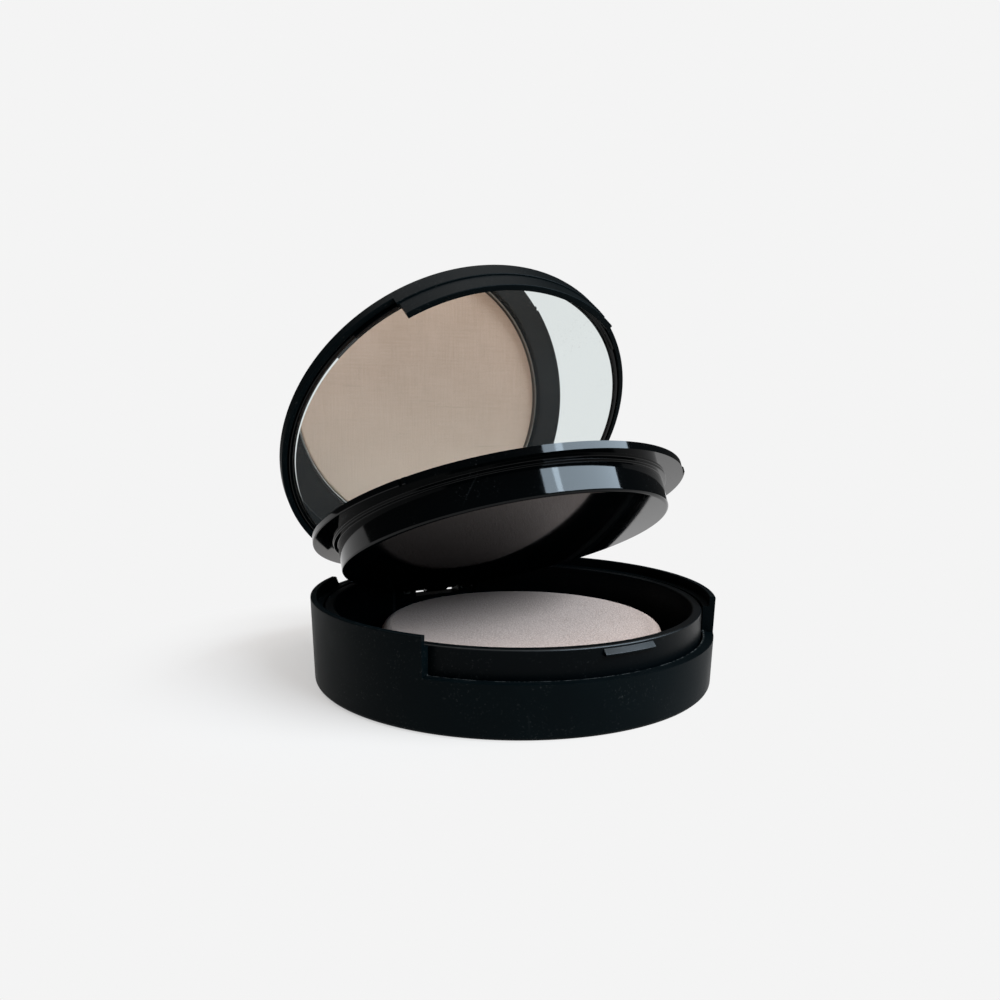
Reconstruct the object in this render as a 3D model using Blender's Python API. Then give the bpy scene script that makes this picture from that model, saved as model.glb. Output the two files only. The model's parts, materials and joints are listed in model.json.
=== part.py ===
"""Round powder compact: a base with a puff well, a hinged powder tray and a mirror lid.

Frame: +Z up, origin at the centre of the underside, front (the latch side) towards -Y.
The tray and the lid turn on one hinge pin at the back, which runs along X.
Every piece is drawn in the closed compact; two empties on the hinge axis open it.
"""
import math

import bmesh
import bpy
from mathutils import Matrix, Vector

MM = 0.001

# Overall sizes
BODY_RADIUS = 38.0 * MM
BASE_HEIGHT = 15.7 * MM
LEDGE_HEIGHT = 9.0 * MM
LID_PLATE = 1.0 * MM

# Opening angles of the stored pose, in degrees from closed
TRAY_OPEN = 25.0
LID_OPEN = 57.4

# Clearances
PIECE_GAP = 0.3 * MM
SEAT_GAP = 0.4 * MM
FLANGE_CLEARANCE = 0.65 * MM
CUP_CLEARANCE = 2.0 * MM
LID_GAP = 0.3 * MM
BOND_GAP = 0.15 * MM
STACK_GAP = 0.2 * MM

# Walls of the base
SHELL_WALL = 2.3 * MM
SHELL_FLOOR = 1.0 * MM
LIP_WALL = 1.1 * MM
LINER_WALL = 1.7 * MM
LINER_FLOOR = 0.8 * MM
FOOT_FILLET = 0.8 * MM
WALL_DRAFT = 0.7 * MM

# Openings in the base wall, as half angles about the centre, in degrees
CUTAWAY_HALF_ANGLE = 51.7
REAR_LOW_HALF_ANGLE = 46.0
REAR_LOW_LEAN = 2.5

# Catch on the front collar
CATCH_CENTER_ANGLE = 1.5
CATCH_HALF_ANGLE = 8.0
CATCH_DEPTH = 0.75 * MM
CATCH_HEIGHT = 1.1 * MM
CATCH_LAND = 0.35 * MM
CATCH_DROP = 0.5 * MM

# Powder tray
FLANGE_THICKNESS = 1.3 * MM
FLANGE_TOP_DROP = 0.2 * MM
FLANGE_FRONT_STEP = 0.4 * MM
FLANGE_FRONT_HALF_ANGLE = 52.5
FLANGE_REAR_FLAT = 1.96 * MM
FLANGE_SLOT = 0.6 * MM
CUP_DEPTH = 6.0 * MM
CUP_WALL = 1.4 * MM
CUP_FLOOR = 1.0 * MM
CUP_FILLET = 0.6 * MM
NECK_WIDTH = 0.8 * MM
NECK_HEIGHT = 0.6 * MM
MOUTH_CHAMFER = 0.3 * MM

# Pan, powder and glue
PAN_SHEET = 0.4 * MM
PAN_HEIGHT = 4.5 * MM
CAKE_BELOW_RIM = 0.2 * MM
CAKE_CROWN = 0.3 * MM
GLUE_THICKNESS = 0.25 * MM
GLUE_MARGIN = 6.0 * MM

# Puff
PUFF_SLACK = 6.8 * MM
PUFF_OFFSET_X = 2.0 * MM
PUFF_ROUND = 1.6 * MM

# Lid
LID_WALL = 1.1 * MM
LID_FILLET = 0.8 * MM
TONGUE_DROP = 1.7 * MM
TONGUE_HALF_ANGLE = 35.75
TONGUE_SHOULDER_ANGLE = 0.6
TONGUE_THICKNESS = 1.25 * MM
TONGUE_INSET = 0.3 * MM
TONGUE_ABOVE_LEDGE = 1.5 * MM
TONGUE_ROOT = 1.1 * MM
MIRROR_THICKNESS = 1.0 * MM
MIRROR_BEVEL = 0.3 * MM
TAPE_THICKNESS = 0.2 * MM
TAPE_MARGIN = 2.6 * MM
BEZEL_WIDTH = 0.85 * MM
SKIRT_WIDTH = 0.45 * MM
SKIRT_DROP = 0.8 * MM
SKIRT_HALF_ANGLE = 51.0

# Hinge
HINGE_INSET = 2.44 * MM
HINGE_BELOW_FLANGE = 3.6 * MM
NOTCH_HALF_WIDTH = 5.3 * MM
NOTCH_DEPTH = 2.7 * MM
EAR_WIDTH = 3.6 * MM
EAR_DEPTH = 1.9 * MM
EAR_TOP = 2.2 * MM
EAR_FOOT = 0.8 * MM
KNUCKLE_SIDE_GAP = 0.3 * MM
TRAY_KNUCKLE_RADIUS = 2.4 * MM
TRAY_KNUCKLE_HALF_WIDTH = 2.6 * MM
LID_KNUCKLE_RADIUS = 1.9 * MM
LID_ARM_INNER = 0.65 * MM
LID_ARM_NECK = 0.6 * MM
LID_ARM_SHOULDER = 0.35 * MM
PIN_RADIUS = 0.6 * MM
PIN_CLEARANCE = 0.15 * MM
PIN_END_DEPTH = 2.8 * MM

# Facets
ROUND_STEPS = 96
SMALL_ROUND_STEPS = 24
FILLET_STEPS = 4
DEGREES_PER_STEP = 3.75
FAR = 60.0 * MM

# Radii that follow from the sizes above
lip_radius = BODY_RADIUS - LIP_WALL
shell_radius = BODY_RADIUS - SHELL_WALL
liner_outer = shell_radius - PIECE_GAP
liner_inner = liner_outer - LINER_WALL
flange_radius = lip_radius - FLANGE_CLEARANCE
cup_radius = liner_inner - CUP_CLEARANCE
pocket_radius = cup_radius - CUP_WALL
pan_radius = pocket_radius - PIECE_GAP
cake_radius = pan_radius - PAN_SHEET - PIECE_GAP
puff_radius = liner_inner - PUFF_SLACK
lid_inner = BODY_RADIUS - LID_WALL
bezel_outer = lid_inner - PIECE_GAP
bezel_inner = bezel_outer - BEZEL_WIDTH
mirror_radius = bezel_inner - BOND_GAP

# Heights that follow from the sizes above
flange_top = BASE_HEIGHT - FLANGE_TOP_DROP
flange_bottom = flange_top - FLANGE_THICKNESS
seat_height = flange_bottom - SEAT_GAP
cup_bottom = flange_bottom - CUP_DEPTH
cup_floor_top = cup_bottom + CUP_FLOOR
liner_bottom = SHELL_FLOOR + STACK_GAP
liner_floor_top = liner_bottom + LINER_FLOOR
lid_rim = BASE_HEIGHT + LID_GAP
mirror_top = lid_rim + MIRROR_THICKNESS
tape_bottom = mirror_top + BOND_GAP
lid_ceiling = tape_bottom + TAPE_THICKNESS + BOND_GAP
lid_top = lid_ceiling + LID_PLATE

# Hinge axis and what is set out from it
hinge_y = BODY_RADIUS - HINGE_INSET
hinge_z = flange_bottom - HINGE_BELOW_FLANGE
notch_floor = hinge_z - NOTCH_DEPTH
ear_half_width = NOTCH_HALF_WIDTH + EAR_WIDTH
lid_knuckle_inner = TRAY_KNUCKLE_HALF_WIDTH + KNUCKLE_SIDE_GAP
lid_knuckle_outer = NOTCH_HALF_WIDTH - KNUCKLE_SIDE_GAP
pin_half_length = NOTCH_HALF_WIDTH + PIN_END_DEPTH


def clear_scene():
    for obj in list(bpy.data.objects):
        bpy.data.objects.remove(obj, do_unlink=True)


def make_material(name, color, roughness, metallic=0.0):
    material = bpy.data.materials.new(name)
    material.use_nodes = True
    shader = material.node_tree.nodes["Principled BSDF"]
    shader.inputs["Base Color"].default_value = (*color, 1.0)
    shader.inputs["Roughness"].default_value = roughness
    shader.inputs["Metallic"].default_value = metallic
    return material


def mesh_object(name, bm, material=None):
    """Turn a closed bmesh into an object with its faces pointing out."""
    bmesh.ops.remove_doubles(bm, verts=bm.verts, dist=0.001 * MM)
    bmesh.ops.recalc_face_normals(bm, faces=bm.faces)
    mesh = bpy.data.meshes.new(name)
    bm.to_mesh(mesh)
    bm.free()
    obj = bpy.data.objects.new(name, mesh)
    bpy.context.scene.collection.objects.link(obj)
    if material:
        mesh.materials.append(material)
        mesh.shade_smooth()
        mesh.set_sharp_from_angle(angle=math.radians(30))
    return obj


def corner(center_r, center_z, radius, start, end):
    """Points of a rounded corner, from one angle to another, in degrees."""
    points = []
    for step in range(FILLET_STEPS + 1):
        angle = math.radians(start + (end - start) * step / FILLET_STEPS)
        points.append((center_r + radius * math.cos(angle), center_z + radius * math.sin(angle)))
    return points


def turned(name, profile, material=None):
    """Turn a profile of (radius, height) points about Z; it is closed unless it ends on the axis."""
    bm = bmesh.new()
    verts = [bm.verts.new((radius, 0.0, height)) for radius, height in profile]
    edges = [bm.edges.new(pair) for pair in zip(verts, verts[1:])]
    if profile[0][0] > 0.0:
        edges.append(bm.edges.new((verts[-1], verts[0])))
    bmesh.ops.spin(
        bm,
        geom=verts + edges,
        cent=(0.0, 0.0, 0.0),
        axis=(0.0, 0.0, 1.0),
        angle=math.tau,
        steps=ROUND_STEPS,
        use_merge=True,
    )
    return mesh_object(name, bm, material)


def sector(name, profile, center, half_angle, lean=0.0):
    """Sweep a closed (radius, height) profile about Z; 0 degrees is the front, 180 the back.

    A lean turns the two lowest edges at the ends inwards by that many degrees.
    """
    start = math.radians(center - half_angle)
    steps = max(2, round(2.0 * half_angle / DEGREES_PER_STEP))
    bm = bmesh.new()
    verts = []
    for radius, height in profile:
        verts.append(bm.verts.new((radius * math.sin(start), -radius * math.cos(start), height)))
    face = bm.faces.new(verts)
    bmesh.ops.spin(
        bm,
        geom=[face],
        cent=(0.0, 0.0, 0.0),
        axis=(0.0, 0.0, 1.0),
        angle=math.radians(2.0 * half_angle),
        steps=steps,
    )
    if lean:
        lean_ends(bm, center, half_angle, lean)
    return mesh_object(name, bm)


def lean_ends(bm, center, half_angle, lean):
    low = min(vert.co.z for vert in bm.verts)
    for side in (-1.0, 1.0):
        end = math.radians(center + side * half_angle)
        outward = Vector((math.sin(end), -math.cos(end), 0.0))
        across = Vector((outward.y, -outward.x, 0.0))
        ends = [v for v in bm.verts if v.co.z < low + PIECE_GAP and v.co.dot(outward) > 0.0]
        ends = [v for v in ends if abs(v.co.dot(across)) < 0.001 * MM]
        turn = Matrix.Rotation(math.radians(-side * lean), 3, "Z")
        bmesh.ops.rotate(bm, verts=ends, cent=(0.0, 0.0, 0.0), matrix=turn)


def ring_band(r_in, r_out, z_low, z_high):
    return [(r_in, z_low), (r_out, z_low), (r_out, z_high), (r_in, z_high)]


def block(name, low, high):
    bm = bmesh.new()
    bmesh.ops.create_cube(bm, size=1.0)
    size = [b - a for a, b in zip(low, high)]
    middle = [(a + b) / 2.0 for a, b in zip(low, high)]
    bmesh.ops.scale(bm, vec=size, verts=bm.verts)
    bmesh.ops.translate(bm, vec=middle, verts=bm.verts)
    return mesh_object(name, bm)


def prism(name, outline, x_low, x_high):
    """Extrude a (y, z) outline along X."""
    bm = bmesh.new()
    face = bm.faces.new([bm.verts.new((x_low, y, z)) for y, z in outline])
    extruded = bmesh.ops.extrude_face_region(bm, geom=[face], use_keep_orig=True)
    moved = [item for item in extruded["geom"] if isinstance(item, bmesh.types.BMVert)]
    bmesh.ops.translate(bm, vec=(x_high - x_low, 0.0, 0.0), verts=moved)
    return mesh_object(name, bm)


def barrel(name, radius, x_low, x_high, material=None):
    """A round bar along the hinge axis."""
    bm = bmesh.new()
    bmesh.ops.create_circle(bm, cap_ends=True, radius=radius, segments=SMALL_ROUND_STEPS)
    extruded = bmesh.ops.extrude_face_region(bm, geom=bm.faces[:], use_keep_orig=True)
    moved = [item for item in extruded["geom"] if isinstance(item, bmesh.types.BMVert)]
    bmesh.ops.translate(bm, vec=(0.0, 0.0, x_high - x_low), verts=moved)
    for vert in bm.verts:
        x, y, z = vert.co
        vert.co = (x_low + z, hinge_y + x, hinge_z + y)
    return mesh_object(name, bm, material)


def combine(target, tool, operation):
    """Join a helper to a piece, or cut it away, with an exact Boolean."""
    modifier = target.modifiers.new(tool.name, "BOOLEAN")
    modifier.operation = operation
    modifier.solver = "EXACT"
    modifier.object = tool
    tool.hide_render = True
    tool.display_type = "WIRE"


def add(target, tool):
    combine(target, tool, "UNION")


def cut(target, tool):
    combine(target, tool, "DIFFERENCE")


def make_base_shell(material):
    """Outer case: floor and drafted wall, a lip round the tray, and a lowered front."""
    foot_center = BODY_RADIUS - WALL_DRAFT - FOOT_FILLET
    profile = [(0.0, 0.0)]
    profile += corner(foot_center, FOOT_FILLET, FOOT_FILLET, -90.0, 0.0)
    profile += [
        (BODY_RADIUS, BASE_HEIGHT),
        (lip_radius, BASE_HEIGHT),
        (lip_radius, seat_height),
        (shell_radius, seat_height),
        (shell_radius, SHELL_FLOOR),
        (0.0, SHELL_FLOOR),
    ]
    shell = turned("base_shell", profile, material)
    front = ring_band(liner_inner, FAR, LEDGE_HEIGHT, FAR)
    cut(shell, sector("front_cutaway", front, 0.0, CUTAWAY_HALF_ANGLE))
    rear = ring_band(liner_inner, FAR, seat_height, BASE_HEIGHT + SEAT_GAP)
    cut(shell, sector("rear_low_rim", rear, 180.0, REAR_LOW_HALF_ANGLE, REAR_LOW_LEAN))
    ear_top = hinge_z + EAR_TOP
    pocket_half_width = ear_half_width + SEAT_GAP
    cut(shell, block("hinge_pocket", (-pocket_half_width, 0.0, ear_top), (pocket_half_width, FAR, FAR)))
    ear_low = (-ear_half_width, hinge_y - EAR_DEPTH, notch_floor - EAR_FOOT)
    ear_high = (ear_half_width, hinge_y, ear_top)
    add(shell, block("hinge_ears", ear_low, ear_high))
    notch_low = (-NOTCH_HALF_WIDTH, 0.0, notch_floor)
    cut(shell, block("hinge_notch", notch_low, (NOTCH_HALF_WIDTH, FAR, FAR)))
    bore_radius = PIN_RADIUS + PIN_CLEARANCE
    bore_end = pin_half_length + PIECE_GAP
    cut(shell, barrel("ear_bore", bore_radius, -bore_end, bore_end))
    return shell


def make_puff_well(material):
    """Inner liner that holds the puff; its wall shows as a collar in the lowered front."""
    profile = [
        (0.0, liner_bottom),
        (liner_outer, liner_bottom),
        (liner_outer, seat_height),
        (liner_inner, seat_height),
        (liner_inner, liner_floor_top),
        (0.0, liner_floor_top),
    ]
    liner = turned("puff_well", profile, material)
    catch_bottom = seat_height - CATCH_DROP - CATCH_HEIGHT
    catch = [
        (liner_outer - PIECE_GAP, catch_bottom),
        (liner_outer + CATCH_DEPTH, catch_bottom),
        (liner_outer + CATCH_DEPTH, catch_bottom + CATCH_LAND),
        (liner_outer - PIECE_GAP, seat_height - CATCH_DROP),
    ]
    add(liner, sector("latch_catch", catch, CATCH_CENTER_ANGLE, CATCH_HALF_ANGLE))
    half_width = ear_half_width + PIECE_GAP
    low = (-half_width, 0.0, notch_floor - EAR_FOOT - PIECE_GAP)
    cut(liner, block("liner_notch", low, (half_width, FAR, FAR)))
    return liner


def make_puff(material):
    """Soft round sponge, lying a little to one side of the well."""
    bottom = liner_floor_top + STACK_GAP
    top = cup_bottom - PIECE_GAP
    profile = [(0.0, bottom)]
    profile += corner(puff_radius - PUFF_ROUND, bottom + PUFF_ROUND, PUFF_ROUND, -90.0, 0.0)
    profile += corner(puff_radius - PUFF_ROUND, top - PUFF_ROUND, PUFF_ROUND, 0.0, 90.0)
    profile += [(0.0, top)]
    puff = turned("puff", profile, material)
    puff.location.x = PUFF_OFFSET_X
    return puff


def make_hinge_pin(material):
    return barrel("hinge_pin", PIN_RADIUS, -pin_half_length, pin_half_length, material)


def make_powder_tray(material):
    """Flanged cup for the powder pan, with the middle knuckle of the hinge."""
    neck_radius = cup_radius + NECK_WIDTH
    neck_bottom = flange_bottom - NECK_HEIGHT
    profile = [(0.0, cup_bottom)]
    profile += corner(cup_radius - CUP_FILLET, cup_bottom + CUP_FILLET, CUP_FILLET, -90.0, 0.0)
    profile += [
        (cup_radius, neck_bottom),
        (neck_radius, neck_bottom),
        (neck_radius, flange_bottom),
        (flange_radius, flange_bottom),
        (flange_radius, flange_top),
        (pocket_radius + MOUTH_CHAMFER, flange_top),
        (pocket_radius, flange_top - MOUTH_CHAMFER),
        (pocket_radius, cup_floor_top),
        (0.0, cup_floor_top),
    ]
    tray = turned("powder_tray", profile, material)
    below = flange_bottom - SEAT_GAP
    front = ring_band(flange_radius - FLANGE_FRONT_STEP, FAR, below, FAR)
    tools = [sector("flange_front_step", front, 0.0, FLANGE_FRONT_HALF_ANGLE)]
    slot_half_angle = math.degrees(FLANGE_SLOT / 2.0 / flange_radius)
    slot_center = FLANGE_FRONT_HALF_ANGLE + 3.0 * slot_half_angle
    for side, label in ((-1.0, "left"), (1.0, "right")):
        tools.append(sector("flange_slot_" + label, front, side * slot_center, slot_half_angle))
    flat_low = (-FAR, hinge_y - FLANGE_REAR_FLAT, below)
    tools.append(block("flange_rear_flat", flat_low, (FAR, FAR, FAR)))
    for tool in tools:
        cut(tray, tool)
    web = [
        (cup_radius - CUP_WALL / 2.0, hinge_z - TRAY_KNUCKLE_RADIUS * 0.7),
        (hinge_y, hinge_z - TRAY_KNUCKLE_RADIUS * 0.95),
        (hinge_y, hinge_z + TRAY_KNUCKLE_RADIUS * 0.95),
        (hinge_y - FLANGE_REAR_FLAT, flange_bottom),
        (cup_radius - CUP_WALL / 2.0, flange_bottom),
    ]
    half_width = TRAY_KNUCKLE_HALF_WIDTH
    bore_radius = PIN_RADIUS + PIN_CLEARANCE
    tools.append(prism("tray_hinge_web", web, -half_width, half_width))
    add(tray, tools[-1])
    tools.append(barrel("tray_knuckle", TRAY_KNUCKLE_RADIUS, -half_width, half_width))
    add(tray, tools[-1])
    tools.append(barrel("tray_bore", bore_radius, -NOTCH_HALF_WIDTH, NOTCH_HALF_WIDTH))
    cut(tray, tools[-1])
    return [tray] + tools


def make_pan_glue(material):
    bottom = cup_floor_top + BOND_GAP
    top = bottom + GLUE_THICKNESS
    radius = pan_radius - GLUE_MARGIN
    return turned("pan_glue", [(0.0, bottom), (radius, bottom), (radius, top), (0.0, top)], material)


def make_powder_pan(material):
    """Pressed sheet dish that the powder is pressed into."""
    bottom = pan_bottom()
    inner = pan_radius - PAN_SHEET
    profile = [
        (0.0, bottom),
        (pan_radius, bottom),
        (pan_radius, bottom + PAN_HEIGHT),
        (inner, bottom + PAN_HEIGHT),
        (inner, bottom + PAN_SHEET),
        (0.0, bottom + PAN_SHEET),
    ]
    return turned("powder_pan", profile, material)


def pan_bottom():
    return cup_floor_top + BOND_GAP + GLUE_THICKNESS + BOND_GAP


def make_powder_cake(material):
    """Pressed powder, with a low crown in the middle."""
    bottom = pan_bottom() + PAN_SHEET + STACK_GAP
    edge_top = pan_bottom() + PAN_HEIGHT - CAKE_BELOW_RIM - CAKE_CROWN
    profile = [
        (0.0, bottom),
        (cake_radius, bottom),
        (cake_radius, edge_top),
        (cake_radius * 0.9, edge_top + CAKE_CROWN * 0.6),
        (cake_radius * 0.6, edge_top + CAKE_CROWN),
        (0.0, edge_top + CAKE_CROWN),
    ]
    return turned("powder_cake", profile, material)


def make_lid_shell(material):
    """Lid plate and rim, the front tongue that clips over the catch, and two hinge arms."""
    drop = lid_rim - TONGUE_DROP
    profile = [(0.0, lid_top)]
    profile += corner(BODY_RADIUS - LID_FILLET, lid_top - LID_FILLET, LID_FILLET, 90.0, 0.0)
    profile += [
        (BODY_RADIUS, drop),
        (lid_inner, drop),
        (lid_inner, lid_ceiling),
        (0.0, lid_ceiling),
    ]
    lid = turned("lid_shell", profile, material)
    rear = ring_band(liner_inner, FAR, -FAR, lid_rim)
    rear_half_angle = 180.0 - TONGUE_HALF_ANGLE - TONGUE_SHOULDER_ANGLE
    tools = [sector("lid_rear_rim", rear, 180.0, rear_half_angle)]
    cut(lid, tools[-1])
    tongue_outer = BODY_RADIUS - TONGUE_INSET
    tongue_bottom = LEDGE_HEIGHT + TONGUE_ABOVE_LEDGE
    tongue = ring_band(tongue_outer - TONGUE_THICKNESS, tongue_outer, tongue_bottom, lid_rim - TONGUE_ROOT)
    tools.append(sector("lid_tongue", tongue, 0.0, TONGUE_HALF_ANGLE))
    add(lid, tools[-1])
    arm_top = lid_rim - LID_ARM_SHOULDER
    neck_inner = bezel_outer + BOND_GAP
    neck_top = lid_rim + MIRROR_THICKNESS * 0.8
    arm = [
        (hinge_y - LID_ARM_INNER, hinge_z),
        (hinge_y - LID_ARM_INNER, arm_top),
        (neck_inner, arm_top),
        (neck_inner, neck_top),
        (neck_inner + LID_ARM_NECK, neck_top),
        (neck_inner + LID_ARM_NECK, hinge_z),
    ]
    for side, label in ((-1.0, "left"), (1.0, "right")):
        x_low, x_high = sorted((side * lid_knuckle_inner, side * lid_knuckle_outer))
        tools.append(prism("lid_arm_" + label, arm, x_low, x_high))
        add(lid, tools[-1])
        tools.append(barrel("lid_knuckle_" + label, LID_KNUCKLE_RADIUS, x_low, x_high))
        add(lid, tools[-1])
    bore_radius = PIN_RADIUS + PIN_CLEARANCE
    tools.append(barrel("lid_bore", bore_radius, -NOTCH_HALF_WIDTH, NOTCH_HALF_WIDTH))
    cut(lid, tools[-1])
    return [lid] + tools


def make_mirror_bezel(material):
    """Ring round the mirror, with a skirt that hangs outside the front of the tray."""
    top = mirror_top + BOND_GAP
    bezel = turned("mirror_bezel", ring_band(bezel_inner, bezel_outer, lid_rim, top), material)
    skirt = ring_band(bezel_outer - SKIRT_WIDTH, bezel_outer, lid_rim - SKIRT_DROP, top)
    tool = sector("bezel_skirt", skirt, 0.0, SKIRT_HALF_ANGLE)
    add(bezel, tool)
    return [bezel, tool]


def make_mirror(material):
    """Round glass mirror with a small bevel round its face."""
    profile = [
        (0.0, lid_rim),
        (mirror_radius - MIRROR_BEVEL, lid_rim),
        (mirror_radius, lid_rim + MIRROR_BEVEL),
        (mirror_radius, mirror_top),
        (0.0, mirror_top),
    ]
    return turned("mirror_glass", profile, material)


def make_mirror_tape(material):
    radius = mirror_radius - TAPE_MARGIN
    top = tape_bottom + TAPE_THICKNESS
    profile = [(0.0, tape_bottom), (radius, tape_bottom), (radius, top), (0.0, top)]
    return turned("mirror_tape", profile, material)


def make_pivot(name, opening, parent=None):
    """Empty on the hinge axis; opening turns what hangs on it up and back."""
    pivot = bpy.data.objects.new(name, None)
    bpy.context.scene.collection.objects.link(pivot)
    if parent:
        pivot.parent = parent
    else:
        pivot.location = (0.0, hinge_y, hinge_z)
    pivot.rotation_euler.x = -math.radians(opening)
    return pivot


def hang(objects, pivot):
    """Hang pieces drawn in the closed compact on a pivot."""
    for obj in objects:
        obj.parent = pivot
        obj.location = (0.0, -hinge_y, -hinge_z)


def main():
    clear_scene()
    matte_black = make_material("matte_black", (0.006, 0.009, 0.010), 0.55)
    satin_black = make_material("satin_black", (0.005, 0.007, 0.008), 0.35)
    gloss_black = make_material("gloss_black", (0.003, 0.004, 0.004), 0.12)
    sponge = make_material("sponge", (0.40, 0.35, 0.31), 0.95)
    steel = make_material("steel", (0.55, 0.55, 0.55), 0.3, 1.0)
    aluminium = make_material("aluminium", (0.75, 0.75, 0.74), 0.35, 1.0)
    powder = make_material("powder", (0.46, 0.36, 0.29), 0.9)
    glue = make_material("glue", (0.7, 0.7, 0.65), 0.6)
    glass = make_material("mirror", (0.9, 0.92, 0.92), 0.02, 1.0)

    make_base_shell(matte_black)
    make_puff_well(satin_black)
    make_puff(sponge)
    make_hinge_pin(steel)
    tray_side = make_powder_tray(gloss_black)
    tray_side += [make_pan_glue(glue), make_powder_pan(aluminium), make_powder_cake(powder)]
    lid_side = make_lid_shell(matte_black)
    lid_side += make_mirror_bezel(satin_black)
    lid_side += [make_mirror(glass), make_mirror_tape(glue)]
    tray_pivot = make_pivot("tray_pivot", TRAY_OPEN)
    lid_pivot = make_pivot("lid_pivot", LID_OPEN - TRAY_OPEN, tray_pivot)
    hang(tray_side, tray_pivot)
    hang(lid_side, lid_pivot)


main()
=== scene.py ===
import json
import math
import bmesh
import bpy
from mathutils import Matrix, Vector


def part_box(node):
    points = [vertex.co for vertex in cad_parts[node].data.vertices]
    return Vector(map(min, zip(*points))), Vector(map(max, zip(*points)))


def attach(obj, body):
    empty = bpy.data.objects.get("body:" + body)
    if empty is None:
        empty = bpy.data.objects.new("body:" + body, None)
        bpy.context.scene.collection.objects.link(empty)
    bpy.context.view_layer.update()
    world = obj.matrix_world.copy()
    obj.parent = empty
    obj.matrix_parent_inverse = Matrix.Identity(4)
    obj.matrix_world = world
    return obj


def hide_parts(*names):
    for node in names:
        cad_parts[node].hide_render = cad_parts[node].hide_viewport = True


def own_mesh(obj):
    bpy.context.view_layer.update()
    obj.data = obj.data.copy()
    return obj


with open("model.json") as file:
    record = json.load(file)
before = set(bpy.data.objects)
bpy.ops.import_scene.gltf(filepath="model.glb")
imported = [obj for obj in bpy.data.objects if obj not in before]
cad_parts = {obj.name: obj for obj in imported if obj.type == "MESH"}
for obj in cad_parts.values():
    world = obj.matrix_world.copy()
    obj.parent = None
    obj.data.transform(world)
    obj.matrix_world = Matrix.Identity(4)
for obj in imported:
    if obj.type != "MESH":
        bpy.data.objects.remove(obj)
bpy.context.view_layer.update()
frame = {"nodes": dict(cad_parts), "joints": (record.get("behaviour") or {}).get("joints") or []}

# Camera, floor and light.
# The camera looks slightly down at the open compact, which stands on a pale seamless sheet in
# daylight from a two-pane window on the right and a soft ceiling.

camera_data = bpy.data.cameras.new("camera")
camera_data.sensor_width = 36.0
camera_data.lens = 31.60
camera_data.clip_start = 0.01
camera = bpy.data.objects.new("camera", camera_data)
camera.location = (-0.08350, -0.14288, 0.05149)
camera.rotation_euler = (math.radians(83.53), math.radians(-0.53), math.radians(-29.34))
bpy.context.scene.collection.objects.link(camera)
bpy.context.scene.camera = camera
bpy.context.scene.view_settings.view_transform = "Standard"

FLOOR_RADIUS = 0.6
FLOOR_DROP = 0.0001
BACKGROUND = 0.905
SHADOW_CENTER = (-0.020, 0.015, 0.0)
SHADOW_CORE = 0.020
SHADOW_REACH = 0.062
SHADOW_LIFT = 0.50

floor_bm = bmesh.new()
bmesh.ops.create_circle(floor_bm, cap_ends=True, radius=FLOOR_RADIUS, segments=64)
floor_mesh = bpy.data.meshes.new("floor")
floor_bm.to_mesh(floor_mesh)
floor_bm.free()
floor = bpy.data.objects.new("floor", floor_mesh)
floor.location.z = -FLOOR_DROP
bpy.context.scene.collection.objects.link(floor)

paper = bpy.data.materials.new("pale_paper")
paper.use_nodes = True
paper_shader = paper.node_tree.nodes["Principled BSDF"]
paper_shader.inputs["Roughness"].default_value = 0.9
paper_shader.inputs["Specular IOR Level"].default_value = 0.1
paper_shader.inputs["Base Color"].default_value = (0.86, 0.79, 0.74, 1.0)
paper_nodes = paper.node_tree.nodes
paper_links = paper.node_tree.links

# The sheet's own shade fades into the even backdrop a few centimetres from the compact.
far_paper = paper_nodes.new("ShaderNodeEmission")
far_paper.inputs["Color"].default_value = (BACKGROUND, BACKGROUND, BACKGROUND, 1.0)
spread = paper_nodes.new("ShaderNodeMapping")
spread.inputs["Location"].default_value = tuple(-place for place in SHADOW_CENTER)
reach = paper_nodes.new("ShaderNodeVectorMath")
reach.operation = "LENGTH"
fade = paper_nodes.new("ShaderNodeMapRange")
fade.interpolation_type = "SMOOTHSTEP"
fade.inputs["From Min"].default_value = SHADOW_CORE
fade.inputs["From Max"].default_value = SHADOW_REACH
fade.inputs["To Min"].default_value = SHADOW_LIFT
lit_or_far = paper_nodes.new("ShaderNodeMixShader")
paper_place = paper_nodes.new("ShaderNodeTexCoord")
paper_links.new(paper_place.outputs["Object"], spread.inputs["Vector"])
paper_links.new(spread.outputs["Vector"], reach.inputs[0])
paper_links.new(reach.outputs["Value"], fade.inputs["Value"])
paper_links.new(fade.outputs["Result"], lit_or_far.inputs["Fac"])
paper_links.new(paper_shader.outputs["BSDF"], lit_or_far.inputs[1])
paper_links.new(far_paper.outputs["Emission"], lit_or_far.inputs[2])
paper_links.new(lit_or_far.outputs["Shader"], paper_nodes["Material Output"].inputs["Surface"])
floor_mesh.materials.append(paper)

# The room is dim at eye level, and its ceiling glows above the sine given by CEILING_START.
ROOM_GLOW = 0.04
CEILING_GLOW = 1.20
CEILING_START = 0.65
CEILING_FULL = 0.90

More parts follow.
